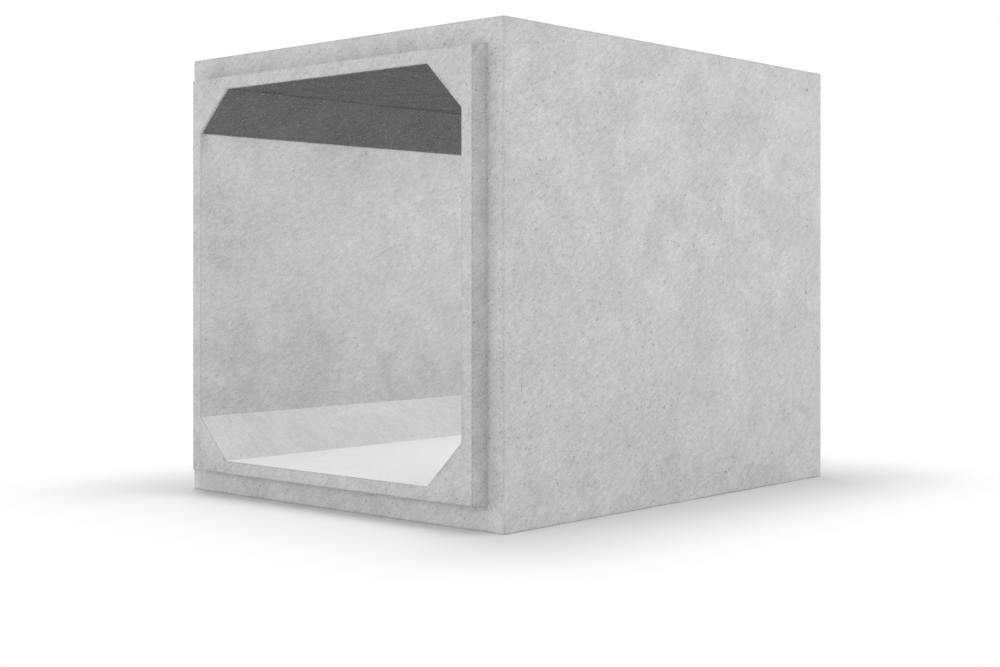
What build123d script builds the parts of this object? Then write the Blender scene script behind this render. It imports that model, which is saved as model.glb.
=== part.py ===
"""A precast reinforced-concrete box culvert unit, with a tongue on one end and a groove on the other.

Lengths are in millimetres. +Z is up, the barrel runs along Y with the tongue at -Y, and the
origin is at the middle of the underside. The unit is one casting. Four spherical-head
lifting anchors of forged steel are cast into the top slab, each in a round recess.
"""
from build123d import *
import math
import os

# Clear opening and the concrete round it
clear_width = 2000
clear_height = 2040
side_wall = 185
top_slab = 200
base_slab = 200
haunch = 228  # 45 degree splay in each inside corner
laying_length = 2885  # from the tongue's shoulder to the groove end
arris = 6  # eased outer edges
mouth_arris = 4  # eased edges of the tongue, the groove and the opening

# Tongue and groove joint
tongue_length = 94
tongue_lip = 70  # thickness at the lip, all round the opening
tongue_draft = 11  # how much thicker the tongue is at its root
joint_gap = 8  # room all round a neighbour's tongue
end_gap = 10  # room past the end of a neighbour's tongue

# Lifting anchors and their recesses
anchor_from_side = 300  # anchor's axis to the side face
anchor_from_end = 600  # anchor's axis to the shoulder or the groove end
recess_radius = 47  # a half ball, centred on the top face
recess_arris = 3
head_depth = 15  # top of the anchor's head below the top face
head_radius = 18
head_rim = 5  # upright edge of the head
head_bevel = 3  # bevel round the head's flat top
head_slope = 9  # height of the cone under the head
shank_radius = 10
foot_radius = 25
foot_rim = 6
foot_slope = 12  # height of the cone over the foot
anchor_length = 180

outer_width = clear_width + 2 * side_wall
outer_height = base_slab + clear_height + top_slab
overall_length = tongue_length + laying_length
shoulder_y = tongue_length - overall_length / 2
groove_end_y = shoulder_y + laying_length
axis_z = base_slab + clear_height / 2
draft_angle = math.degrees(math.atan(tongue_draft / tongue_length))


def across(y, x=0, z=0):
    """A plane across the barrel at y, centred on the opening's axis, facing the tongue end."""
    return Plane(origin=(x, y, axis_z + z), x_dir=(1, 0, 0), z_dir=(0, -1, 0))


def opening_outline():
    """The clear opening: a rectangle with its four corners splayed at 45 degrees."""
    outline = Rectangle(clear_width, clear_height)
    return chamfer(outline.vertices(), haunch)


def frustum(y, wall, depth):
    """A drafted block from the plane at y towards -Y, its sides wall outside the opening at y."""
    outline = Rectangle(clear_width + 2 * wall, clear_height + 2 * wall)
    return extrude(across(y) * outline, amount=depth, taper=draft_angle)


def outer_block():
    """The unit's outside, from shoulder to groove end, with its long edges and ends eased."""
    middle_z = (top_slab - base_slab) / 2
    outline = across(groove_end_y, z=middle_z) * Rectangle(outer_width, outer_height)
    block = extrude(outline, amount=laying_length)
    return chamfer(block.edges(), arris)


def tongue():
    """The inner part of the wall, run on past the shoulder and thinner towards its lip."""
    return frustum(shoulder_y, tongue_lip + tongue_draft, tongue_length)


def groove():
    """The rebate that takes a neighbour's tongue, with the joint's clearance all round."""
    mouth = tongue_lip + tongue_draft + joint_gap
    return frustum(groove_end_y, mouth, tongue_length + end_gap)


def lifting_anchor(x, y):
    """A forged anchor: a wide foot, a round shank and a flat-topped head, turned about its axis."""
    top = outer_height - head_depth
    bottom = top - anchor_length
    rim_top = top - head_bevel
    rim_bottom = rim_top - head_rim
    with BuildPart() as anchor:
        with BuildSketch(Plane.XZ):
            with BuildLine():
                Polyline(
                    (0, top), (0, bottom), (foot_radius, bottom), (foot_radius, bottom + foot_rim),
                    (shank_radius, bottom + foot_rim + foot_slope), (shank_radius, rim_bottom - head_slope),
                    (head_radius, rim_bottom), (head_radius, rim_top), (head_radius - head_bevel, top),
                    close=True)
            make_face()
        revolve(axis=Axis.Z)
    return Pos(x, y, 0) * anchor.part


def recess(x, y):
    """The half ball left round an anchor's head, eased where it meets the top face."""
    bowl = Pos(x, y, outer_height) * Sphere(recess_radius)
    easing = Pos(x, y, outer_height - recess_arris / 2) * Cone(
        recess_radius, recess_radius + recess_arris, recess_arris)
    return bowl + easing


def anchor_places():
    """The four anchors' names with the places of their axes."""
    x = outer_width / 2 - anchor_from_side
    rows = {"tongue": shoulder_y + anchor_from_end, "groove": groove_end_y - anchor_from_end}
    sides = {"left": -x, "right": x}
    return {f"lifting_anchor_{end}_{side}": (sides[side], rows[end]) for end in rows for side in sides}


def ease_mouths(body):
    """Ease the tongue's lip, the groove's rim and the opening's edge on the groove's seat."""
    lip, shoulder, seat, rim = body.faces().filter_by(Axis.Y).sort_by(Axis.Y)
    edges = lip.edges() + seat.inner_wires().edges() + rim.inner_wires().edges()
    return chamfer(edges, mouth_arris)


def culvert_body(anchors):
    """The casting: block and tongue, less the barrel, the groove and what holds the anchors."""
    body = outer_block() + tongue() - groove()
    body -= extrude(across(groove_end_y) * opening_outline(), amount=overall_length)
    body = ease_mouths(body)
    for place in anchor_places().values():
        body -= recess(*place)
    for anchor in anchors.values():
        body -= anchor
    return body


anchors = {name: lifting_anchor(*place) for name, place in anchor_places().items()}
pieces = {"culvert_body": culvert_body(anchors), **anchors}

os.makedirs("parts", exist_ok=True)
for name, piece in pieces.items():
    export_step(piece, f"parts/{name}.step")

print(f"outside {outer_width} wide, {outer_height} high, {overall_length} long")
print(f"concrete {pieces['culvert_body'].volume / 1e9:.4f} cubic metres")
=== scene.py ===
# %% [markdown]
# A precast concrete box culvert
#
# The unit is one casting of grey concrete: a square barrel with a splay in each inside corner,
# a tongue round one end and a groove round the other. The solid model is the fixed frame. This
# notebook gives it the surface of real concrete, lights it plainly and looks at it from the
# tongue end. The frame is loaded first, and its size is kept for the last cell.

# %% Load the frame
import math

import bpy
import numpy as np
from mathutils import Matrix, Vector


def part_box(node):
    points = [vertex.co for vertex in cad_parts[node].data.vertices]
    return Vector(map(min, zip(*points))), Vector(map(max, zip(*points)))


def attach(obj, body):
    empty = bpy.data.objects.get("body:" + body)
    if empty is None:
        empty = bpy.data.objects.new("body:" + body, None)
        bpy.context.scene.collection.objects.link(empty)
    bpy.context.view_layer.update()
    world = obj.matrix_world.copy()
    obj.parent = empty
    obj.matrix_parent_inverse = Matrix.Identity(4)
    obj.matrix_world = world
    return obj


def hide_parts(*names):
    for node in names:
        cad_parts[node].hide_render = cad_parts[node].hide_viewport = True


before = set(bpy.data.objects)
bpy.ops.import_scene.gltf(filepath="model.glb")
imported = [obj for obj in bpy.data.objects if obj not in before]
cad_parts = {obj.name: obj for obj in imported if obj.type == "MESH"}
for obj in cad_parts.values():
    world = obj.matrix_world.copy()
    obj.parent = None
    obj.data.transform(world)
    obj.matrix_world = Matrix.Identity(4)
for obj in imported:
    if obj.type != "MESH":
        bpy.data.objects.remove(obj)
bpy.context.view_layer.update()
body_low, body_high = (np.array(corner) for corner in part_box("culvert_body"))
print("frame nodes:", ", ".join(sorted(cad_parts)))
print("body from", body_low.round(4), "to", body_high.round(4))

# %% [markdown]
# The sizes that the surface follows
#
# The outside comes from the frame. What lies inside that box is named here once, in metres, as
# a precaster's drawing gives it: the walls, the splay, the tongue with its draft and the groove
# with its clearance. The surface could be traced from the solid's own triangles instead, but
# those are long slivers that hold no detail, so every row of it is worked out from these values.

# %% Sizes of the casting
SIDE_WALL = 0.185
SLAB = 0.200
SPLAY = 0.228
TONGUE_LENGTH = 0.094
TONGUE_LIP = 0.070
TONGUE_DRAFT = 0.011
JOINT_GAP = 0.008
END_GAP = 0.010
ARRIS = 0.006
MOUTH_ARRIS = 0.004

HALF_WIDTH = body_high[0]
HALF_HEIGHT = (body_high[2] - body_low[2]) / 2
AXIS_Z = (body_high[2] + body_low[2]) / 2
LIP_Y, GROOVE_END_Y = body_low[1], body_high[1]
SHOULDER_Y = LIP_Y + TONGUE_LENGTH
SEAT_Y = GROOVE_END_Y - TONGUE_LENGTH - END_GAP
CLEAR = np.array([HALF_WIDTH - SIDE_WALL, HALF_HEIGHT - SLAB])
PLAIN = CLEAR - SPLAY
ROOT = TONGUE_LIP + TONGUE_DRAFT
GROOVE_MOUTH = ROOT + JOINT_GAP
GROOVE_SEAT = GROOVE_MOUTH - TONGUE_DRAFT * (TONGUE_LENGTH + END_GAP) / TONGUE_LENGTH
print(f"clear opening {2 * CLEAR[0]:.3f} by {2 * CLEAR[1]:.3f} m, shoulder at y = {SHOULDER_Y:.4f}")

# %% [markdown]
# One surface for the whole casting
#
# A culvert is a closed ring: walk round its wall from outside, over the tongue, through the
# barrel, over the groove and back, and you come to where you began. So its skin is a torus with
# flat sides. One parameter runs round the section and the other along that walk, and both
# close. That needs no joins, no booleans and no loose faces.
#
# First come the sections. Each is a loop with the same number of points, so that any two can
# be joined row to row. Only one quarter is worked out, and it is mirrored for the rest.

# %% Sections round the barrel
SIDE_CELLS = 12
LEG_CELLS = 6
ARC_CELLS = 3


def run(start, stop, count):
    """Points in even steps from start towards stop, count of them, with stop itself left off."""
    share = np.linspace(0, 1, count + 1)[:-1, None]
    return (1 - share) * np.array(start) + share * np.array(stop)


def whole_loop(quarter, right_middle):
    """A quarter loop, from the top's middle to the right side's, mirrored to a closed loop of (x, z)."""
    down = np.vstack([quarter, [right_middle]])
    parts = [down, down[::-1] * [1, -1], down * [-1, -1], down[::-1] * [-1, 1]]
    return np.vstack([part[:-1] for part in parts])


def square_section(half, radius):
    """A rectangle with rounded corners: straight runs, and a quarter circle of the given radius."""
    turn = np.linspace(math.pi / 2, 0, ARC_CELLS + 1)[:-1, None]
    arc = half - radius + radius * np.hstack([np.cos(turn), np.sin(turn)])
    quarter = np.vstack([
        run((0, half[1]), (PLAIN[0], half[1]), SIDE_CELLS),
        run((PLAIN[0], half[1]), (half[0] - radius, half[1]), LEG_CELLS),
        arc,
        run((half[0], half[1] - radius), (half[0], PLAIN[1]), LEG_CELLS),
        run((half[0], PLAIN[1]), (half[0], 0), SIDE_CELLS),
    ])
    return whole_loop(quarter, (half[0], 0))


def splayed_section(offset):
    """The opening's outline moved outwards by offset.

    Each corner is cut by a line at 45 degrees. Moving it by offset moves its ends along the
    faces by the square root of 2, less 1, times the offset.
    """
    half = CLEAR + offset
    plain = half - SPLAY - (2 - math.sqrt(2)) * offset
    quarter = np.vstack([
        run((0, half[1]), (plain[0], half[1]), SIDE_CELLS),
        run((plain[0], half[1]), (half[0], plain[1]), 2 * LEG_CELLS + ARC_CELLS),
        run((half[0], plain[1]), (half[0], 0), SIDE_CELLS),
    ])
    return whole_loop(quarter, (half[0], 0))


print("points round each section:", len(splayed_section(0)))

# %% [markdown]
# The walk along the wall is a list of rows. Each row is a section with its place along the
# barrel, and a flat stretch is a few rows that change evenly from one section to the next.
# Where two faces meet, the edge is a quarter circle of a few millimetres, as a steel mould
# leaves it. A Bevel modifier could round the edges, but it would not know how far each point is
# from them. Here every row keeps its distance from the nearest edge and from the nearest root,
# the inside corner where the tongue or the groove begins. The material needs both: it draws a
# thin darker line along the edges and paints shade towards the roots. Both distances stay exact
# however coarse the rows are.

# %% Rows, spans and rounded edges
FAR = 9.0
EDGE_ANGLES = np.radians([30, 60, 90])
rows = []


def add_row(section, y, edge=FAR, root=FAR):
    """Keep one row: a section, its y, and its distances from an edge and from a root."""
    rows.append((section, y, edge, root))


def add_span(section, y, length, count, edges=(), roots=()):
    """Even steps from the last row to a section at y; edges and roots say which end is one, 0 or 1."""
    first, first_y = rows[-1][:2]
    for share in np.linspace(0, 1, count + 1)[1:]:
        near = [min([FAR] + [abs(share - end) * length for end in ends]) for ends in (edges, roots)]
        add_row((1 - share) * first + share * section, (1 - share) * first_y + share * y, *near)


def add_arris(section_at, end_y, radius, onto_end, angles=EDGE_ANGLES):
    """A quarter circle between a long face and the end face at end_y.

    section_at(inset) is the section that lies inset into the concrete from the long face. The
    radius is negative where the end face looks towards larger y. Where the walk comes onto the
    end face, the inset is 1 - cos of the angle and the way back 1 - sin, times the radius. Where
    it leaves it, the two change places.
    """
    for angle in angles:
        inset, back = 1 - math.cos(angle), 1 - math.sin(angle)
        if not onto_end:
            inset, back = back, inset
        add_row(section_at(abs(radius) * inset), end_y + radius * back, edge=0)


print("rows in each rounded edge:", len(EDGE_ANGLES))

# %% [markdown]
# The walk starts at the outer edge of the groove end. Long faces get a row every seven
# centimetres or so, because the waves and the air holes need points to hold on to, and narrow
# faces get two or three.

# %% Walk round the wall
LONG_CELL = 0.066
LONG_ROWS = math.ceil((GROOVE_END_Y - SHOULDER_Y) / LONG_CELL)
SHOULDER_ROWS = 3
SHORT_ROWS = 2
outside = np.array([HALF_WIDTH, HALF_HEIGHT])


def shrunk(half, inset):
    """A square section moved inwards by inset; its corner's radius shrinks too, but not to nothing."""
    return square_section(half - inset, max(MOUTH_ARRIS / 2, ARRIS - inset))


def outer_face(inset):
    """The unit's outside, moved into the concrete by inset."""
    return shrunk(outside, inset)


def lip_face(inset):
    """The tongue's outside at its lip, moved into the concrete by inset."""
    return shrunk(CLEAR + TONGUE_LIP, inset)


def groove_face(inset):
    """The groove's inside at its mouth, moved into the concrete by inset."""
    return square_section(CLEAR + GROOVE_MOUTH + inset, MOUTH_ARRIS)


tongue_root = square_section(CLEAR + ROOT, MOUTH_ARRIS)
tongue_rim = square_section(CLEAR + TONGUE_LIP, MOUTH_ARRIS)
groove_root = square_section(CLEAR + GROOVE_SEAT, MOUTH_ARRIS)

# the outside, from the groove end to the shoulder
add_row(outer_face(0), GROOVE_END_Y - ARRIS, edge=0)
add_span(outer_face(0), SHOULDER_Y + ARRIS, GROOVE_END_Y - SHOULDER_Y, LONG_ROWS, edges=(0, 1))
# the shoulder, its edge first, and the tongue
add_arris(outer_face, SHOULDER_Y, ARRIS, onto_end=True)
add_span(tongue_root, SHOULDER_Y, SIDE_WALL - ROOT, SHOULDER_ROWS, edges=(0,), roots=(1,))
add_span(tongue_rim, LIP_Y + MOUTH_ARRIS, TONGUE_LENGTH, SHORT_ROWS, edges=(1,), roots=(0,))
# the lip between its two edges
add_arris(lip_face, LIP_Y, MOUTH_ARRIS, onto_end=True)
add_span(splayed_section(MOUTH_ARRIS), LIP_Y, TONGUE_LIP, SHORT_ROWS, edges=(0, 1))
add_arris(splayed_section, LIP_Y, MOUTH_ARRIS, onto_end=False)
# the barrel, and the seat at its far end
add_span(splayed_section(0), SEAT_Y - MOUTH_ARRIS, SEAT_Y - LIP_Y, LONG_ROWS, edges=(0, 1))
add_arris(splayed_section, SEAT_Y, -MOUTH_ARRIS, onto_end=True)
add_span(groove_root, SEAT_Y, GROOVE_SEAT, SHORT_ROWS, edges=(0,), roots=(1,))
# the groove, and the rim round it, whose outer edge ends in the first row
add_span(groove_face(0), GROOVE_END_Y - MOUTH_ARRIS, GROOVE_END_Y - SEAT_Y, SHORT_ROWS, (1,), (0,))
add_arris(groove_face, GROOVE_END_Y, -MOUTH_ARRIS, onto_end=True)
add_span(outer_face(ARRIS), GROOVE_END_Y, SIDE_WALL - GROOVE_MOUTH, SHORT_ROWS, edges=(0, 1))
add_arris(outer_face, GROOVE_END_Y, -ARRIS, onto_end=False, angles=EDGE_ANGLES[:-1])

sections = np.array([row[0] for row in rows])
row_y, row_edge, row_root = np.array([row[1:] for row in rows]).T
ROWS, ROUND = sections.shape[:2]
skin = np.stack([sections[..., 0], np.repeat(row_y[:, None], ROUND, 1), sections[..., 1] + AXIS_Z], 2)
print(f"skin of {ROWS} rows by {ROUND} points")

# %% [markdown]
# The rows know their distances along the walk. Round the section, a face ends where the skin
# turns: at an outer corner, which is an edge, or at a splay, which is an inside corner. So the
# turn between each point's neighbours finds these folds, and the way round the row to the
# nearest of them gives the rest. The creases between the ceiling and its splays are kept apart,
# because the material paints shade along those only.

# %% Distances from edges, roots and folds
FOLD_TURN = math.radians(20)


def grid_normals(grid):
    """Outward normals: the cross product of the steps along the walk and round the section."""
    along = np.roll(grid, -1, 0) - np.roll(grid, 1, 0)
    around = np.roll(grid, -1, 1) - np.roll(grid, 1, 1)
    cross = np.cross(along, around)
    return cross / np.linalg.norm(cross, axis=2, keepdims=True)


def distance_round(marked):
    """For each point, the shorter way round its row to the nearest marked point of that row."""
    step = np.linalg.norm(np.roll(skin, -1, 1) - skin, axis=2)
    place = np.cumsum(step, axis=1) - step
    apart = np.abs(place[:, :, None] - place[:, None, :])
    apart = np.minimum(apart, step.sum(1)[:, None, None] - apart)
    return np.where(marked[:, None, :], apart, FAR).min(2)


normals = grid_normals(skin)
turn = np.arccos(np.clip((np.roll(normals, 1, 1) * np.roll(normals, -1, 1)).sum(2), -1, 1))
is_fold = turn > FOLD_TURN
is_crease = is_fold & (skin[..., 2] - AXIS_Z > (PLAIN[1] + CLEAR[1]) / 2)
from_axis = np.abs(skin - [0, 0, AXIS_Z])
in_barrel = (from_axis[..., 0] <= CLEAR[0] + MOUTH_ARRIS) & (from_axis[..., 2] <= CLEAR[1] + MOUTH_ARRIS)
barrel_row = (skin[..., 0].max(1) < CLEAR[0] + MOUTH_ARRIS / 2) & (row_y > LIP_Y + MOUTH_ARRIS / 2)

fold_distance = distance_round(is_fold)
edge_distance = np.minimum(row_edge[:, None], np.where(in_barrel, FAR, fold_distance))
root_distance = np.minimum(row_root[:, None], np.where(in_barrel, fold_distance, FAR))
crease_distance = np.where(from_axis[..., 0] > PLAIN[0] + ARRIS, FAR, distance_round(is_crease))
print("points on folds:", int(is_fold.sum()), "and on creases:", int(is_crease.sum()))

# %% [markdown]
# Steel moulds bow a little between their stiffeners, so the faces of a real unit are never
# quite flat. Noise on every point would look like a rough cast, so a few long plane waves are
# added up instead. They fade out towards every edge and root, and only ever move the skin
# inwards, which keeps the unit inside its stated size. Nothing moves on the underside, because
# the unit rests on it.

# %% Slight waves in the flat faces
WAVE_HEIGHT = 0.0012
WAVE_FADE = 0.16
draw = np.random.default_rng(41)


def long_waves(points, count=7, shortest=0.7, longest=2.2):
    """Plane sine waves in random directions, their sum over the root of their count, within -1 and 1."""
    directions = draw.normal(size=(count, 3))
    directions /= np.linalg.norm(directions, axis=1, keepdims=True)
    turns = 2 * math.pi / draw.uniform(shortest, longest, count)
    phases = draw.uniform(0, 2 * math.pi, count)
    waves = np.sin(points @ (directions * turns[:, None]).T + phases).sum(-1) / math.sqrt(count)
    return np.clip(waves, -1, 1)


fade = np.clip(np.minimum(edge_distance, root_distance) / WAVE_FADE, 0, 1)
fade *= skin[..., 2] > body_low[2] + ARRIS
skin += normals * (WAVE_HEIGHT * fade * (long_waves(skin) - 1))[..., None]
print(f"waves move the faces by up to {WAVE_HEIGHT * 2000:.1f} mm, inwards")

# %% [markdown]
# Hollows in the skin
#
# Two kinds of hollow go into the skin: the round holes that air leaves in a cast face, and the
# four bowls in the top where a lifting clutch grips its anchor. A boolean could cut them, but
# thousands of cuts are slow and leave poor faces. Here a hollow takes the place of one cell of
# the skin, or of a block of cells. A fan of triangles leads from the border to the hollow's
# rim, and rings step down to its floor.

# %% Sink hollows into cells of the skin
FLOOR_SINK = 1.12


def hollows(points, first_index, border, centre, into, radii, depths, shape):
    """Points and triangles of hollows, one for each row of border.

    Each rim has shape.shape[1] points, spread evenly between the directions of the border's
    points. Ring k lies at radii[:, k] times shape from the centre, and depths[:, k] below it.
    The floor's middle is FLOOR_SINK times as deep as the last ring.
    """
    count, corners = border.shape
    rim, rings = shape.shape[1], radii.shape[1]
    each = rim // corners
    towards = points[border] - centre[:, None]
    side = towards[:, 0] - (towards[:, 0] * into).sum(1, keepdims=True) * into
    side /= np.linalg.norm(side, axis=1, keepdims=True)
    up = np.cross(side, into)
    angle = np.arctan2((towards * up[:, None]).sum(2), (towards * side[:, None]).sum(2))
    angle = np.unwrap(np.hstack([angle, angle[:, :1]]), axis=1)
    share = np.arange(each) / each
    around = (angle[:, :-1, None] * (1 - share) + angle[:, 1:, None] * share).reshape(count, rim)
    across = np.cos(around)[..., None] * side[:, None] + np.sin(around)[..., None] * up[:, None]
    out = radii[:, :, None, None] * shape[:, None, :, None] * across[:, None]
    ring = centre[:, None, None] + out + depths[:, :, None, None] * into[:, None, None]
    floor = centre + FLOOR_SINK * depths[:, -1:] * into

    block = rings * rim + 1
    start = first_index + block * np.arange(count)[:, None]
    here = np.arange(rim)
    after = np.roll(here, -1)
    owner = (here + each // 2) // each % corners
    next_owner = np.roll(owner, -1)
    middle = here[owner != next_owner]
    triangles = [
        np.stack([border[:, owner], start + after, start + here], 2)[:, owner == next_owner],
        np.stack([border[:, owner[middle]], start + after[middle], start + middle], 2),
        np.stack([border[:, owner[middle]], border[:, next_owner[middle]], start + after[middle]], 2),
    ]
    for level in range(rings - 1):
        upper, lower = start + level * rim, start + (level + 1) * rim
        triangles.append(np.stack([upper + here, upper + after, lower + after], 2))
        triangles.append(np.stack([upper + here, lower + after, lower + here], 2))
    last = start + (rings - 1) * rim
    tip = np.repeat(start + block - 1, rim, 1)
    triangles.append(np.stack([last + here, last + after, tip], 2))
    new_points = np.concatenate([ring.reshape(count, -1, 3), floor[:, None]], 1).reshape(-1, 3)
    return new_points, np.concatenate(triangles, 1)


# %% [markdown]
# A cell is the patch between four neighbouring points. Both ways round the torus close, so
# the neighbours come from rolling the table of point numbers by one, and no seam is left.

# %% Cells of the skin
index = np.arange(ROWS * ROUND).reshape(ROWS, ROUND)
ahead, beside = np.roll(index, -1, 0), np.roll(index, -1, 1)
cell = np.stack([index, ahead, np.roll(ahead, -1, 1), beside], 2)
points = skin.reshape(-1, 3)
first_corner, second_corner, third_corner, fourth_corner = (points[cell[..., k]] for k in range(4))
cell_normal = np.cross(third_corner - first_corner, fourth_corner - second_corner)
cell_normal /= np.linalg.norm(cell_normal, axis=2, keepdims=True)
cell_centre = points[cell].mean(2)
barrel_cell = np.broadcast_to((barrel_row & np.roll(barrel_row, -1))[:, None], index.shape)
kept = np.ones(index.shape, bool)
print("cells:", index.size)

# %% [markdown]
# Each lifting anchor of the frame has its recess: a half ball with a small edge, big enough for
# the clutch. The recess is centred on the anchor and takes the block of nine cells round it, so
# its border has twelve points. Its bowl is a quarter circle of rings.

# %% Sink the lifting recesses
RECESS_RADIUS = 0.047
RECESS_ARRIS = 0.003
RECESS_RIM = 48
BOWL_ANGLES = np.radians([12, 26, 40, 54, 68, 80])

recess_places = []
for name in sorted(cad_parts):
    if name.startswith("lifting_anchor"):
        low, high = (np.array(corner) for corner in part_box(name))
        recess_places.append([*((low + high) / 2)[:2], body_high[2]])
recess_places = np.array(recess_places)
borders = []
for place in recess_places:
    gap = np.linalg.norm(cell_centre - place, axis=2)
    row, column = np.unravel_index(gap.argmin(), gap.shape)
    kept[row - 1:row + 2, column - 1:column + 2] = False
    block = index[row - 1:row + 3, column - 1:column + 3]
    loop = np.concatenate([block[0, :-1], block[:-1, -1], block[-1, :0:-1], block[:0:-1, 0]])
    borders.append(loop[::-1])
    place[2] = points[loop, 2].mean()
borders = np.array(borders)
bowl_radii = [RECESS_RADIUS + RECESS_ARRIS, RECESS_RADIUS, *(RECESS_RADIUS * np.cos(BOWL_ANGLES))]
bowl_depths = [0, RECESS_ARRIS, *(RECESS_RADIUS * np.sin(BOWL_ANGLES))]
each_recess = np.ones((len(borders), 1))
recess_points, recess_faces = hollows(
    points, len(points), borders, recess_places, each_recess * [0.0, 0.0, -1.0],
    each_recess * bowl_radii, each_recess * bowl_depths, np.ones((len(borders), RECESS_RIM)))
recess_triangles = recess_faces.reshape(-1, 3)
print("recesses:", len(borders), "with", len(recess_triangles), "triangles")

# %% [markdown]
# Air that can't escape against a steel mould leaves small round holes. They are real hollows,
# so a few thousand of the larger ones are made in the mesh, and only the finest are left to the
# material. Holes come in all sizes, many small and few large, and they crowd in some places. So
# a cell gets one by chance, with odds that follow a slow noise, and its radius is drawn from a
# lognormal spread. The barrel's faces are smoother, so it gets only a few. The underside has
# none, as nobody sees it.

# %% Choose the cells for the air holes
HOLES = 3200
SMALLEST_CELL = 0.026
FACES_DOWN = -0.9
BARREL_SPARED = 0.8
CROWDING = 0.7

width = np.linalg.norm(second_corner - first_corner, axis=2)
depth = np.linalg.norm(fourth_corner - first_corner, axis=2)
narrower = np.minimum(width, depth)
underside = (cell_normal[..., 2] <= FACES_DOWN) & (cell_centre[..., 2] <= AXIS_Z)
roomy = kept & (narrower > SMALLEST_CELL) & ~underside
roomy &= ~(barrel_cell & (draw.random(roomy.shape) < BARREL_SPARED))
crowds = long_waves(cell_centre, count=9, shortest=0.25, longest=0.9)
odds = np.exp(CROWDING * crowds) * width * depth * roomy
chosen = draw.choice(odds.size, HOLES, replace=False, p=odds.ravel() / odds.sum())
kept.ravel()[chosen] = False
print("air holes in the barrel:", int(barrel_cell.ravel()[chosen].sum()), "of", HOLES)

# %% [markdown]
# A real air hole is seldom a true circle. Each rim is stretched one way by a cosine of twice
# the angle and then shaken a little, and its depth is a share of its radius. Its centre lies
# at the shares s and t of its cell's two sides, wherever that leaves room for it.

# %% Sink the air holes
TYPICAL_RADIUS, RADIUS_SPREAD = 0.0043, 0.38
SMALLEST_RADIUS, LARGEST_RADIUS = 0.0024, 0.011
ROOM_SHARE = 0.3
WIDEST_RIM = 1.6
BORDER_MARGIN = 0.004
MOST_PLAY = 0.45
HOLE_RIM = 8
MOST_STRETCH = 0.35
RIM_SHAKE = 0.88, 1.12
STEEPNESS = 0.28, 0.62
INNER_RING, INNER_DEPTH = 0.72, 0.75

hole_cell = cell.reshape(-1, 4)[chosen]
hole_normal = cell_normal.reshape(-1, 3)[chosen]
room = narrower.ravel()[chosen]
radius = np.exp(draw.normal(math.log(TYPICAL_RADIUS), RADIUS_SPREAD, HOLES))
radius = np.clip(radius, SMALLEST_RADIUS, np.minimum(LARGEST_RADIUS, ROOM_SHARE * room))
play = np.clip(0.5 - (radius * WIDEST_RIM + BORDER_MARGIN) / room, 0, MOST_PLAY)
s, t = (0.5 + play * draw.uniform(-1, 1, (2, HOLES)))[..., None]
first, second, third, fourth = (points[hole_cell[:, k]] for k in range(4))
hole_centre = (1 - t) * ((1 - s) * first + s * second) + t * ((1 - s) * fourth + s * third)
stretch = draw.uniform(0, MOST_STRETCH, (HOLES, 1))
lean = draw.uniform(0, math.pi, (HOLES, 1))
rim_angle = np.arange(HOLE_RIM)[None] * 2 * math.pi / HOLE_RIM
hole_shape = 1 + stretch * np.cos(2 * (rim_angle - lean))
hole_shape = hole_shape * draw.uniform(*RIM_SHAKE, (HOLES, HOLE_RIM))
steepness = draw.uniform(*STEEPNESS, (HOLES, 1))
hole_points, hole_faces = hollows(
    points, len(points) + len(recess_points), hole_cell, hole_centre, -hole_normal,
    radius[:, None] * [1.0, INNER_RING], radius[:, None] * steepness * [0.0, INNER_DEPTH], hole_shape)
hole_triangles = hole_faces.reshape(-1, 3)
print(f"air holes: {HOLES}, {2000 * radius.min():.0f} to {2000 * radius.max():.0f} mm across")

# %% [markdown]
# Which finish and painted light each face gets
#
# Concrete that was cast in one pour still differs from side to side: the strokes of the mould
# oil slant their own way on walls, floor and splays, and the barrel's floor is smoother. The
# tones differ from place to place too, and those are mostly painted light and shade: the barrel's
# floor is paler, partly as a paler surface and partly as painted light, its ceiling has pale
# flecks and painted shade, the splays get painted light, and round the tongue and on its end
# painted light and shade lift and lower the tone. One image could be painted over everything,
# but numbers on the face corners need no image, and they can change abruptly from face to face.
# So a table gives every direction its slant, and another gives every place its finish: its share
# of texture, its flecks and its painted light and shade.

# %% Slants and finishes
SLOPE = math.sqrt(0.5)
SIDES = [
    ((1, 0, 0), 30, 24),
    ((-1, 0, 0), 30, 24),
    ((0, 1, 0), 38, 38),
    ((0, -1, 0), 38, 38),
    ((0, 0, 1), 38, 82),
    ((0, 0, -1), 38, 82),
    ((SLOPE, 0, SLOPE), 38, -50),
    ((-SLOPE, 0, SLOPE), 38, -50),
    ((SLOPE, 0, -SLOPE), 38, 38),
    ((-SLOPE, 0, -SLOPE), 38, 38),
]
DIRECTIONS = np.array([direction for direction, _, _ in SIDES])
OUTER_SLANTS, INNER_SLANTS = (np.radians([side[k] for side in SIDES]) for k in (1, 2))
# places in the table above
GROOVE_SIDE, TONGUE_SIDE, UP_SIDE, DOWN_SIDE, FIRST_LOW_SPLAY, FIRST_HIGH_SPLAY = 2, 3, 4, 5, 6, 8
BARREL_LAYER = 20.0
# texture, flecks, and the painted light and shade added to the brightness: painted light on the
# floor, which is also a paler surface, on the splays, and on the tongue end below and above the
# tongue; painted shade on the ceiling, round the tongue and low on the tongue end
FINISHES_WITH_PAINTED_LIGHT = {
    "barrel floor": (0.3, 0.12, 0.33),
    "barrel ceiling": (1.2, 3.2, -0.14),
    "low splay": (0.6, 0.12, 0.055),
    "high splay": (1.2, 1.5, 0.08),
    "barrel wall": (1.0, 0.12, 0.0),
    "round the tongue": (1.0, 0.05, -0.10),
    "below the tongue": (1.0, -0.05, 0.12),
    "low on the tongue end": (1.0, -0.05, -0.035),
    "above the tongue": (1.0, -0.05, 0.05),
    "rest of the tongue end": (1.0, -0.05, 0.0),
    "outside": (1.0, 0.05, 0.0),
}


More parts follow.
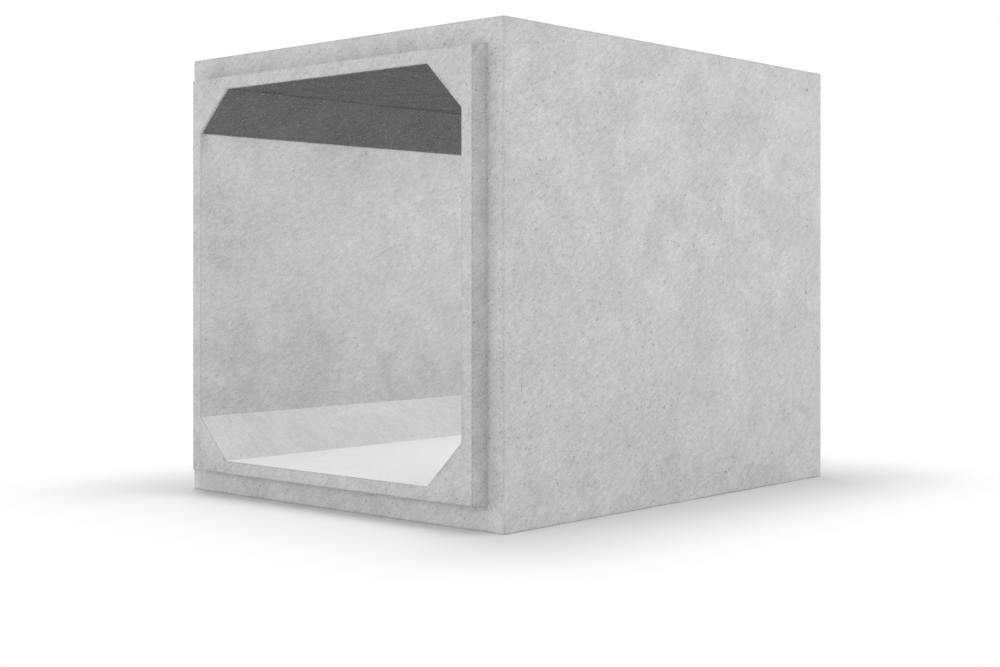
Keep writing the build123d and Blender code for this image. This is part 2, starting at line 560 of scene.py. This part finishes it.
def place_masks(centre, nearest, inside):
    """Which faces lie in each place of FINISHES_WITH_PAINTED_LIGHT; where two overlap, the first one counts."""
    y, z = centre[:, 1], centre[:, 2]
    tongue_end = nearest == TONGUE_SIDE
    return {
        "barrel floor": inside & (nearest == UP_SIDE),
        "barrel ceiling": inside & (nearest == DOWN_SIDE),
        "low splay": inside & (nearest >= FIRST_LOW_SPLAY) & (nearest < FIRST_HIGH_SPLAY),
        "high splay": inside & (nearest >= FIRST_HIGH_SPLAY),
        "barrel wall": inside,
        "round the tongue": (y < SHOULDER_Y) & ~tongue_end & (nearest != GROOVE_SIDE),
        "below the tongue": tongue_end & (z < SLAB - ROOT) & (y > LIP_Y + ARRIS),
        "low on the tongue end": tongue_end & (z < SLAB),
        "above the tongue": tongue_end & (z > 2 * HALF_HEIGHT - SLAB + ROOT),
        "rest of the tongue end": tongue_end,
        "outside": np.ones(len(y), bool),
    }


def side_attributes(corners, normal, inside):
    """Stroke coordinates, and each place's texture, flecks and painted light and shade, at each face
    corner.

    Along is the level direction of the face turned by the slant towards its upward one, across
    is square to it, and a point's two coordinates are its products with them.
    """
    nearest = (normal @ DIRECTIONS.T).argmax(1)
    normal = DIRECTIONS[nearest]
    slant = np.where(inside, INNER_SLANTS[nearest], OUTER_SLANTS[nearest])[:, None]
    lies_flat = np.abs(normal[:, 2:]) > 0.9
    up = np.where(lies_flat, [0.0, 1.0, 0.0], [0.0, 0.0, 1.0])
    level = np.cross(up, normal)
    level /= np.linalg.norm(level, axis=1, keepdims=True)
    up = np.cross(normal, level)
    level *= np.where(level @ np.array([1.0, 1.0, 0.0]) < 0, -1.0, 1.0)[:, None]
    along = np.cos(slant) * level + np.sin(slant) * up
    across = np.cross(normal, along)
    u = (corners * along[:, None]).sum(2)
    v = (corners * across[:, None]).sum(2)
    layer = np.broadcast_to((nearest + BARREL_LAYER * inside)[:, None], u.shape)
    strokes = np.stack([u, v, layer], 2).reshape(-1, 3)
    masks = place_masks(corners.mean(1), nearest, inside)
    finish_and_painted_light = np.select([masks[place][:, None] for place in FINISHES_WITH_PAINTED_LIGHT],
                       [np.array(values) for values in FINISHES_WITH_PAINTED_LIGHT.values()])
    return strokes, np.repeat(finish_and_painted_light, u.shape[1], axis=0)


print("sides:", len(SIDES), "and finishes:", len(FINISHES_WITH_PAINTED_LIGHT))

# %% [markdown]
# The mesh is now put together from the plain cells and the hollows. Faces are shaded smooth,
# and an edge stays sharp where the skin turns by nearly 30 degrees or more. The numbers for the
# finish could be textures on a UV map, but they are few and smooth, so they are attributes:
# the strokes and the finish, with its painted light and shade, on the face corners, and on the
# points the distances and a mark for those that lie down in an air hole.

# %% Build the casting
SHARP_TURN = math.radians(28)


def make_mesh(name, points, face_groups):
    """A mesh from arrays of faces, each group with as many corners a face as its width."""
    mesh = bpy.data.meshes.new(name)
    faces = [face for group in face_groups for face in group.tolist()]
    mesh.from_pydata(points.tolist(), [], faces)
    mesh.polygons.foreach_set("use_smooth", np.ones(len(mesh.polygons), bool))
    piece = bpy.data.objects.new(name, mesh)
    bpy.context.scene.collection.objects.link(piece)
    return piece


plain_cells = cell[kept]
all_points = np.concatenate([points, recess_points, hole_points])
casting = make_mesh("concrete_casting", all_points, [plain_cells, recess_triangles, hole_triangles])
casting.data.set_sharp_from_angle(angle=SHARP_TURN)
triangle_count = 2 * len(plain_cells) + len(recess_triangles) + len(hole_triangles)
print(f"casting: {len(all_points)} points, {triangle_count} triangles")


# %% Store what the finish reads
def store(name, domain, values):
    """An attribute on the casting, filled from an array of numbers or of threes."""
    kind, field = ("FLOAT_VECTOR", "vector") if values.ndim > 1 else ("FLOAT", "value")
    attribute = casting.data.attributes.new(name, kind, domain)
    attribute.data.foreach_set(field, values.astype(np.float32).ravel())


def on_all_points(values):
    """Values of the skin's points, 1 at most, and then each hollow's: the mean of its border's."""
    values = np.minimum(values, 1.0).ravel()
    in_recesses = np.repeat(values[borders].mean(1), len(recess_points) // len(borders))
    in_holes = np.repeat(values[hole_cell].mean(1), len(hole_points) // HOLES)
    return np.concatenate([values, in_recesses, in_holes])


each_hole = hole_faces.shape[1]
hole_inside = barrel_cell.ravel()[chosen]
flat_top = np.tile([0.0, 0.0, 1.0], (len(recess_triangles), 1))
face_groups = [
    (plain_cells, cell_normal[kept], barrel_cell[kept]),
    (recess_triangles, flat_top, np.zeros(len(recess_triangles), bool)),
    (hole_triangles, np.repeat(hole_normal, each_hole, 0), np.repeat(hole_inside, each_hole)),
]
groups_done = [side_attributes(all_points[faces], normal, inside) for faces, normal, inside in face_groups]
store("strokes", "CORNER", np.concatenate([strokes for strokes, _ in groups_done]))
store("finish_and_painted_light", "CORNER", np.concatenate([finish_and_painted_light for _, finish_and_painted_light in groups_done]))
root_everywhere = np.broadcast_to(row_root[:, None], index.shape)
crease_inside = np.where(barrel_row[:, None], crease_distance, FAR)
reach = [on_all_points(values) for values in (edge_distance, root_everywhere, crease_inside)]
store("reach", "POINT", np.stack(reach, 1))
one_hole = [0.0] * HOLE_RIM + [1.0] * (HOLE_RIM + 1)
not_sunk = np.zeros(len(points) + len(recess_points))
store("sunk", "POINT", np.concatenate([not_sunk, np.tile(one_hole, HOLES)]))
print("attributes:", ", ".join(casting.data.attributes.keys()))

# %% [markdown]
# Shader groups
#
# Four effects are used more than once, so each is a node group with named inputs. They hold
# values only, and the shader stays in the material. Writing nodes out one by one takes many
# lines, so a few helpers come first: one makes any node, and the rest are short forms for
# what nearly every effect needs.

# %% Helpers for node trees
FLOAT, VECTOR = "NodeSocketFloat", "NodeSocketVector"
groups = {}


def add_node(tree, kind, *values, **named):
    """A new node, with its settings and its input sockets filled.

    Values go to its first sockets in order. A name with a capital letter is a socket, with _ for
    a space, and any other name is a setting. A value that is another node's output is linked.
    """
    node = tree.nodes.new(kind)
    for key in [key for key in named if key.islower()]:
        setattr(node, key, named.pop(key))
    sockets = [(node.inputs[place], value) for place, value in enumerate(values)]
    sockets += [(node.inputs[key.replace("_", " ")], value) for key, value in named.items()]
    for socket, value in sockets:
        if isinstance(value, bpy.types.NodeSocket):
            tree.links.new(value, socket)
        else:
            socket.default_value = value
    return node


def maths(tree, operation, *values):
    """The output of one Math node."""
    return add_node(tree, "ShaderNodeMath", *values, operation=operation).outputs[0]


def ramp(tree, value, low, high, to_low=0.0, to_high=1.0):
    """Value carried smoothly from the range low..high to to_low..to_high."""
    return add_node(tree, "ShaderNodeMapRange", value, low, high, to_low, to_high,
                    interpolation_type="SMOOTHSTEP").outputs[0]


def noise(tree, vector, scale, detail, roughness, distortion=0.0):
    """The value of a noise texture, between 0 and 1."""
    return add_node(tree, "ShaderNodeTexNoise", Vector=vector, Scale=scale, Detail=detail,
                    Roughness=roughness, Distortion=distortion).outputs[0]


def new_group(name, output, **inputs):
    """A shader group that takes a vector and the named numbers; returns its tree, inputs and output."""
    tree = bpy.data.node_groups.new(name, "ShaderNodeTree")
    tree.interface.new_socket("Vector", in_out="INPUT", socket_type=VECTOR)
    for socket_name, value in inputs.items():
        tree.interface.new_socket(socket_name, in_out="INPUT", socket_type=FLOAT).default_value = value
    tree.interface.new_socket(output, in_out="OUTPUT", socket_type=FLOAT)
    given = tree.nodes.new("NodeGroupInput").outputs
    result = tree.nodes.new("NodeGroupOutput").inputs[0]
    groups[name] = tree
    return tree, given, result


# %% [markdown]
# Where the paste is richer, concrete dries darker, in soft patches of a hand's breadth and
# more. One noise looks too even for that, so `cloud` adds a finer one at half its strength, and
# takes off the mean, so that it only shifts the tone up and down.

# %% Cloudy patches
FINE_SHARE = 0.5
tree, given, result = new_group("cloud", "Value", Scale=4.0, Fineness=3.0)
broad = noise(tree, given["Vector"], given["Scale"], detail=2.0, roughness=0.6, distortion=0.4)
fine_scale = maths(tree, "MULTIPLY", given["Scale"], given["Fineness"])
fine = noise(tree, given["Vector"], fine_scale, detail=2.0, roughness=0.6)
both = maths(tree, "MULTIPLY_ADD", fine, FINE_SHARE, broad)
tree.links.new(maths(tree, "SUBTRACT", both, (1 + FINE_SHARE) / 2), result)
print("group cloud:", len(tree.nodes), "nodes")

# %% [markdown]
# Mould oil is wiped on in slanting strokes, and the face keeps them. `strokes` is a noise that
# is squeezed across them and drawn out along them. It reads the flat coordinates of each face,
# because a noise in space would show stretched on some faces and round on others.

# %% Slanting strokes
LAYER_STEP = 7.3
tree, given, result = new_group("strokes", "Value", Along=12.0, Across=75.0)
squeeze = add_node(tree, "ShaderNodeCombineXYZ", given["Along"], given["Across"], LAYER_STEP).outputs[0]
drawn = add_node(tree, "ShaderNodeVectorMath", given["Vector"], squeeze, operation="MULTIPLY").outputs[0]
streaks = noise(tree, drawn, 1.0, detail=1.0, roughness=0.7, distortion=0.2)
tree.links.new(maths(tree, "SUBTRACT", streaks, 0.5), result)
print("group strokes:", len(tree.nodes), "nodes")

# %% [markdown]
# The finest air holes are too many for the mesh. `air holes` makes round spots: in a field of
# random cells, a spot is where the distance to the cell's middle is less than a radius. The
# cell's own random colour says whether it has a spot at all, and how large. The same group
# with other numbers makes larger spots and the pale flecks of the ceiling.

# %% Fine air holes
SMALLEST_SPOT, SPOT_CORE = 0.35, 0.55
tree, given, result = new_group("air holes", "Mask", Scale=60.0, Radius=0.3, Share=0.4)
cells = add_node(tree, "ShaderNodeTexVoronoi", Vector=given["Vector"], Scale=given["Scale"], Randomness=1.0,
                 feature="F1").outputs
chance = add_node(tree, "ShaderNodeSeparateColor", cells["Color"]).outputs
present = maths(tree, "LESS_THAN", chance[0], given["Share"])
size = maths(tree, "MULTIPLY_ADD", chance[1], 1 - SMALLEST_SPOT, SMALLEST_SPOT)
spot_radius = maths(tree, "MULTIPLY", size, given["Radius"])
core = maths(tree, "MULTIPLY", spot_radius, SPOT_CORE)
spot = ramp(tree, cells["Distance"], core, spot_radius, 1.0, 0.0)
tree.links.new(maths(tree, "MULTIPLY", spot, present), result)
print("group air holes:", len(tree.nodes), "nodes")

# %% [markdown]
# This group turns a distance in metres into a band that is one at the edge and zero past a width.
# The material uses it for a thin darker line along the edges, and for painted shade towards the
# inside corners: the tongue's root and the creases under the ceiling. A noise makes the width
# come and go, because an even band would look drawn with a ruler.

# %% Bands from edges and inside corners
NARROWEST_BAND, WIDEST_BAND = 0.25, 1.6
tree, given, result = new_group("edge band", "Mask", Distance=1.0, Width=0.012, Scale=30.0)
breaks = noise(tree, given["Vector"], given["Scale"], detail=1.0, roughness=0.65)
breaks = ramp(tree, breaks, 0.3, 0.7, NARROWEST_BAND, WIDEST_BAND)
band = maths(tree, "MULTIPLY", given["Width"], breaks)
tree.links.new(ramp(tree, given["Distance"], 0.0, band, 1.0, 0.0), result)
print("group edge band:", len(tree.nodes), "nodes")

# %% [markdown]
# The concrete
#
# Formed concrete is nearly matt and nearly neutral. What makes it read as concrete is the
# tone: slow clouds, slanting strokes, a fine speckle of sand, pores darkened with painted shade, a
# thin dull line along the edges, painted shade towards the inside corners, and a little painted
# shade in the mesh's air holes. The brightness also carries painted light: darker towards the
# foot and lighter towards the top, and changes from place to place as the table of finishes gives
# it. Colour ramps could be mixed one over another, but each effect is only a small change of
# brightness. So they are added up as numbers and then turned into a colour once. The sand and the
# pores also drive a slight bump.

# %% Helpers for materials
def empty_tree(owner):
    """The node tree of a material or of the world, with nothing in it."""
    owner.use_nodes = True
    owner.node_tree.nodes.clear()
    return owner.node_tree


def use_group(tree, name, **inputs):
    """One of the groups placed in a material, with its own values; returns its output."""
    return add_node(tree, "ShaderNodeGroup", node_tree=groups[name], **inputs).outputs[0]


def read_attribute(tree, name, output="Vector"):
    """An attribute of the piece's own mesh."""
    return add_node(tree, "ShaderNodeAttribute", attribute_name=name).outputs[output]


# %% Precast concrete
CONCRETE = 0.53
# tone effects and their amounts; the dark fine pores and the slight darkening of the mesh's air holes are
# painted shade in hollows, and one entry is a thin darker line along the edges
TEXTURES_AND_PAINTED_HOLE_SHADE = [("cloud", 0.34), ("streak", 0.36), ("fine streak", 0.52), ("grain", 0.60), ("pores", -0.30),
            ("spots", -0.18), ("edge line", -0.12), ("sunk", -0.03)]
# painted shade towards the tongue's root and along the ceiling's creases, and the ceiling's pale flecks
PAINTED_SHADE_AND_FLECKS = [("rebate", -0.055), ("crease", -0.24), ("flecks", 1.0)]
# painted light: the unit is darker at its foot and lighter at its top
FOOT_PAINTED_SHADE, TOP_PAINTED_LIGHT = -0.04, 0.03
ROUGHNESS, STREAK_ROUGHNESS = 0.84, 0.16
SAND_RELIEF = 0.4


def concrete_material():
    """Brightness is the base value times one plus a sum of small, centred effects and of painted light and
    shade.
    """
    material = bpy.data.materials.new("precast_concrete")
    tree = empty_tree(material)
    place = add_node(tree, "ShaderNodeTexCoord").outputs["Object"]
    stroke = read_attribute(tree, "strokes")
    reach = read_attribute(tree, "reach")
    edge, root, fold = add_node(tree, "ShaderNodeSeparateXYZ", reach).outputs
    finish_and_painted_light = read_attribute(tree, "finish_and_painted_light")
    texture, fleckness, painted_light_and_shade = add_node(tree, "ShaderNodeSeparateXYZ", finish_and_painted_light).outputs
    flecks = use_group(tree, "air holes", Vector=place, Scale=82.0, Radius=0.34, Share=0.7)
    effects = {
        "cloud": use_group(tree, "cloud", Vector=place, Scale=4.5, Fineness=3.6),
        "streak": use_group(tree, "strokes", Vector=stroke, Along=18.0, Across=42.0),
        "fine streak": use_group(tree, "strokes", Vector=stroke, Along=70.0, Across=130.0),
        "grain": use_group(tree, "strokes", Vector=stroke, Along=190.0, Across=300.0),
        # dark fine pores: painted shade for holes too fine for the mesh
        "pores": use_group(tree, "air holes", Vector=place, Scale=38.0, Radius=0.27, Share=0.8),
        "spots": use_group(tree, "air holes", Vector=place, Scale=9.0, Radius=0.14, Share=0.85),
        # a slight painted shade in the mesh's air holes
        "sunk": read_attribute(tree, "sunk", "Fac"),
        # a thin darker line along the edges
        "edge line": use_group(tree, "edge band", Vector=place, Distance=edge, Width=0.005, Scale=9.0),
        # painted shade towards the tongue's root
        "rebate": use_group(tree, "edge band", Vector=place, Distance=root, Width=0.20, Scale=5.0),
        # painted shade along the ceiling's creases
        "crease": use_group(tree, "edge band", Vector=place, Distance=fold, Width=0.13, Scale=3.0),
        "flecks": maths(tree, "MULTIPLY", flecks, fleckness),
    }

    total = 0.0
    for name, amount in TEXTURES_AND_PAINTED_HOLE_SHADE:
        total = maths(tree, "MULTIPLY_ADD", effects[name], amount, total)
    total = maths(tree, "MULTIPLY", total, texture)
    for name, amount in PAINTED_SHADE_AND_FLECKS:
        total = maths(tree, "MULTIPLY_ADD", effects[name], amount, total)
    # painted light: darker towards the foot, lighter towards the top
    height = add_node(tree, "ShaderNodeSeparateXYZ", place).outputs[2]
    total = maths(tree, "ADD", total, ramp(tree, height, 0.0, 2 * HALF_HEIGHT, FOOT_PAINTED_SHADE, TOP_PAINTED_LIGHT))
    # the place's painted light and shade, as the table of finishes gives it
    total = maths(tree, "ADD", maths(tree, "ADD", total, painted_light_and_shade), 1.0)
    level = maths(tree, "MULTIPLY", total, CONCRETE)
    colour = add_node(tree, "ShaderNodeCombineColor", level, level, level).outputs[0]

    rough = maths(tree, "MULTIPLY_ADD", effects["streak"], STREAK_ROUGHNESS, ROUGHNESS)
    sand = maths(tree, "MULTIPLY", effects["grain"], SAND_RELIEF)
    relief = maths(tree, "SUBTRACT", sand, effects["pores"])
    relief = maths(tree, "MULTIPLY", relief, texture)
    bump = add_node(tree, "ShaderNodeBump", Strength=0.4, Distance=0.0010, Height=relief).outputs[0]
    shader = add_node(tree, "ShaderNodeBsdfPrincipled", Base_Color=colour, Roughness=rough,
                      Specular_IOR_Level=0.32, Normal=bump).outputs[0]
    add_node(tree, "ShaderNodeOutputMaterial", Surface=shader)
    return material


# %% Put the concrete on the casting
casting.data.materials.append(concrete_material())
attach(casting, "root")
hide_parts("culvert_body")
print("concrete on", casting.name)

# %% [markdown]
# The lifting anchors
#
# Each anchor is a forged steel bar whose head stands in its recess. The frame's own solids are
# right, so they stay and only get a finish: dark forge scale with a bloom of rust. Two whole
# materials could be mixed, but here one mask, a cloud with some grain in it, carries colour,
# metal and roughness over together, so that they always agree.

# %% Forged steel
SCALE_COLOUR = (0.23, 0.225, 0.22, 1)
RUST_COLOUR = (0.20, 0.105, 0.055, 1)
# on bare scale and on rust
METALNESS = 0.9, 0.15
DULLNESS = 0.42, 0.85
MIX_FIRST_COLOUR, MIX_SECOND_COLOUR, MIX_COLOUR_RESULT = 6, 7, 2


def steel_material():
    """Scale and rust mixed by a cloud, with the metal duller where it has rusted."""
    material = bpy.data.materials.new("forged_steel")
    tree = empty_tree(material)
    place = add_node(tree, "ShaderNodeTexCoord").outputs["Object"]
    cloud = use_group(tree, "cloud", Vector=place, Scale=42.0, Fineness=4.0)
    grain = noise(tree, place, 900.0, detail=3.0, roughness=0.7)
    pits = use_group(tree, "air holes", Vector=place, Scale=380.0, Radius=0.4, Share=0.4)
    rust = ramp(tree, maths(tree, "MULTIPLY_ADD", grain, 0.25, cloud), 0.05, 0.30)
    mix = add_node(tree, "ShaderNodeMix", rust, data_type="RGBA")
    mix.inputs[MIX_FIRST_COLOUR].default_value = SCALE_COLOUR
    mix.inputs[MIX_SECOND_COLOUR].default_value = RUST_COLOUR
    relief = maths(tree, "SUBTRACT", maths(tree, "MULTIPLY", grain, 0.4), pits)
    bump = add_node(tree, "ShaderNodeBump", Strength=0.6, Distance=0.0003, Height=relief).outputs[0]
    shader = add_node(tree, "ShaderNodeBsdfPrincipled", Base_Color=mix.outputs[MIX_COLOUR_RESULT],
                      Metallic=ramp(tree, rust, 0.0, 1.0, *METALNESS),
                      Roughness=ramp(tree, rust, 0.0, 1.0, *DULLNESS), Normal=bump).outputs[0]
    add_node(tree, "ShaderNodeOutputMaterial", Surface=shader)
    return material


steel = steel_material()
for name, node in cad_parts.items():
    if name.startswith("lifting_anchor"):
        node.data.materials.clear()
        node.data.materials.append(steel)
        print("steel on", name)

# %% [markdown]
# Floor, light and camera
#
# The floor is plain and pale. It could be a white sheet that curves up behind the unit, but a
# curve catches shadows from some sides. So it lies flat and wide, and away from the unit its
# surface turns into an even white glow, which camera, glossy and transmitted rays meet and no
# others. Near the unit it keeps the shadow.

# %% Studio floor
FLOOR_SIZE = 60.0
FLOOR_TONE = 0.80
FLOOR_FADE = 1.2
WHITE = (1, 1, 1, 1)


def backdrop_rays(tree):
    """One for the rays that should meet the pale backdrop: camera, glossy and transmitted."""
    rays = add_node(tree, "ShaderNodeLightPath").outputs
    some = maths(tree, "MAXIMUM", rays["Is Camera Ray"], rays["Is Glossy Ray"])
    return maths(tree, "MAXIMUM", some, rays["Is Transmission Ray"])


def vector_maths(tree, operation, *values):
    """A Vector Math node."""
    return add_node(tree, "ShaderNodeVectorMath", *values, operation=operation).outputs


def floor_material():
    """Matt by the unit; the share of glow grows with the distance from the unit's outline."""
    material = bpy.data.materials.new("studio_floor")
    tree = empty_tree(material)
    place = add_node(tree, "ShaderNodeTexCoord").outputs["Object"]
    folded = vector_maths(tree, "ABSOLUTE", place)[0]
    beyond = vector_maths(tree, "SUBTRACT", folded, (body_high[0], body_high[1], 0))[0]
    away = vector_maths(tree, "LENGTH", vector_maths(tree, "MAXIMUM", beyond, (0, 0, 0))[0])["Value"]
    matt = add_node(tree, "ShaderNodeBsdfDiffuse", (FLOOR_TONE, FLOOR_TONE, FLOOR_TONE, 1)).outputs[0]
    glow = add_node(tree, "ShaderNodeEmission", WHITE, 1.0).outputs[0]
    fade = maths(tree, "MULTIPLY", ramp(tree, away, 0.0, FLOOR_FADE), backdrop_rays(tree))
    mixed = add_node(tree, "ShaderNodeMixShader", fade, matt, glow).outputs[0]
    add_node(tree, "ShaderNodeOutputMaterial", Surface=mixed)
    return material


floor_corners = np.array([[-1, -1, 0], [1, -1, 0], [1, 1, 0], [-1, 1, 0]]) * FLOOR_SIZE / 2
floor = make_mesh("studio_floor", floor_corners, [np.array([[0, 1, 2, 3]])])
floor.data.materials.append(floor_material())
print("floor", FLOOR_SIZE, "m square")

# %% [markdown]
# The light starts with a soft sky, brighter above than below. A picture of a real sky would
# tint the concrete, so three plain tones are blended by how steeply a ray goes up or down. The
# camera sees only white.

# %% Soft sky
SKY_TOP, SKY_LEVEL, SKY_BELOW = 0.64, 0.27, 0.07

world = bpy.data.worlds.new("soft_sky")
bpy.context.scene.world = world
tree = empty_tree(world)
direction = add_node(tree, "ShaderNodeTexCoord").outputs["Generated"]
height = add_node(tree, "ShaderNodeSeparateXYZ", direction).outputs[2]
above = ramp(tree, height, 0.0, 1.0, SKY_LEVEL, SKY_TOP)
below = ramp(tree, height, -0.5, 0.0, SKY_BELOW - SKY_LEVEL, 0.0)
light = add_node(tree, "ShaderNodeBackground", WHITE, maths(tree, "ADD", above, below)).outputs[0]
white = add_node(tree, "ShaderNodeBackground", WHITE, 1.0).outputs[0]
mixed = add_node(tree, "ShaderNodeMixShader", backdrop_rays(tree), light, white).outputs[0]
add_node(tree, "ShaderNodeOutputWorld", Surface=mixed)
print("sky from", SKY_BELOW, "below to", SKY_TOP, "above")

# %% [markdown]
# In real daylight a long barrel is light on its floor and lower walls, and dark under its
# ceiling. Lamps outside can't give that step, because they reach the upper splays too. A
# photographer would hang a flag there, a dull tray that keeps light off the ceiling, with a
# lamp under it for the rest, and so does this scene. The camera sees neither of them.

# %% Flag under the ceiling
FLAG_GLOW = 0.225
FLAG_DROP = 0.001
FLAG_OVERLAP = 0.01
FLAG_SETBACK = 0.012

tray_low, tray_high = AXIS_Z + PLAIN[1] - FLAG_DROP, AXIS_Z + CLEAR[1] + FLAG_OVERLAP
wide, narrow = CLEAR[0] + FLAG_OVERLAP, PLAIN[0] + FLAG_OVERLAP
outline = [(-wide, tray_low), (-narrow, tray_high), (narrow, tray_high), (wide, tray_low)]
tray = np.array([(x, y, z) for y in (LIP_Y + FLAG_SETBACK, SEAT_Y - FLAG_SETBACK) for x, z in outline])
flag = make_mesh("barrel_flag", tray, [np.array([[0, 3, 7, 4], [0, 1, 2, 3], [7, 6, 5, 4]])])
flag_material = bpy.data.materials.new("dull_flag")
tree = empty_tree(flag_material)
glow = add_node(tree, "ShaderNodeEmission", WHITE, FLAG_GLOW).outputs[0]
add_node(tree, "ShaderNodeOutputMaterial", Surface=glow)
flag.data.materials.append(flag_material)
flag.visible_camera = False
print(f"flag {2 * wide:.2f} m wide, at {tray_low:.3f} m")

# %% [markdown]
# Five broad lamps stand round the unit: on the right, behind it, on the left, in front and
# above. One sun would do, but a sun throws hard shadows, and broad lamps leave only a small step
# in tone from the long wall to the tongue end. The sixth is the barrel's own, under the flag.
# Its cone is narrower, so that it lights the floor more than the walls.

# %% Lamps
BARREL_MIDDLE_Y = -0.17
LAMPS = [
    # name, place, target, width, height, power, spread
    ("side_lamp", (9.0, -1.9, 2.0), (1.2, 0, 1.2), 5.0, 3.6, 212, 180),
    ("back_lamp", (6.5, 6.5, 2.4), (1.2, 0.6, 1.2), 4.0, 3.0, 180, 180),
    ("far_side_lamp", (-8.0, 3.5, 3.0), (-1.0, 0.4, 1.2), 5.0, 3.6, 300, 180),
    ("front_lamp", (-0.3, -9.2, 2.3), (0, -1.4, 1.5), 5.0, 3.6, 250, 180),
    ("top_lamp", (-0.3, -0.8, 8.6), (0, 0, 1.5), 6.0, 6.0, 200, 180),
    ("barrel_lamp", (0, BARREL_MIDDLE_Y, AXIS_Z + PLAIN[1] - 0.003), (0, BARREL_MIDDLE_Y, 0),
     1.996, 2.56, 25.4, 150),
]

for name, place, target, lamp_width, lamp_height, power, spread in LAMPS:
    data = bpy.data.lights.new(name, "AREA")
    data.shape = "RECTANGLE"
    data.size, data.size_y = lamp_width, lamp_height
    data.energy = power
    data.spread = math.radians(spread)
    lamp = bpy.data.objects.new(name, data)
    bpy.context.scene.collection.objects.link(lamp)
    lamp.location = place
    lamp.rotation_euler = (Vector(target) - Vector(place)).to_track_quat("-Z", "Y").to_euler()
    lamp.visible_camera = False
print("lamps:", ", ".join(name for name, *_ in LAMPS))

# %% [markdown]
# The camera stands level, at half the unit's height, so the uprights stay upright. It looks 42
# degrees to the left of the barrel's axis. Tilting it would frame the unit too, but would make
# the uprights lean. So the lens is shifted a little instead, and the horizon lies above the
# picture's middle.

# %% Camera
CAMERA_PLACE = (6.0696, SHOULDER_Y - 5.4540, AXIS_Z)
CAMERA_TURN = math.radians(41.976)
FOCAL_PIXELS = 1561.0
IMAGE_WIDTH, IMAGE_HEIGHT = 1000, 667
HORIZON_PIXEL = 275.04
SENSOR = 36.0

camera_data = bpy.data.cameras.new("camera")
camera_data.sensor_width = SENSOR
camera_data.lens = SENSOR * FOCAL_PIXELS / IMAGE_WIDTH
camera_data.shift_y = (HORIZON_PIXEL - IMAGE_HEIGHT / 2) / IMAGE_WIDTH
camera_data.clip_end = 200
camera = bpy.data.objects.new("camera", camera_data)
camera.location = CAMERA_PLACE
camera.rotation_euler = (math.pi / 2, 0, CAMERA_TURN)
bpy.context.scene.collection.objects.link(camera)
bpy.context.scene.camera = camera
bpy.context.scene.view_settings.view_transform = "Standard"
print(f"camera with a {camera_data.lens:.1f} mm lens, shift {camera_data.shift_y:.4f}")
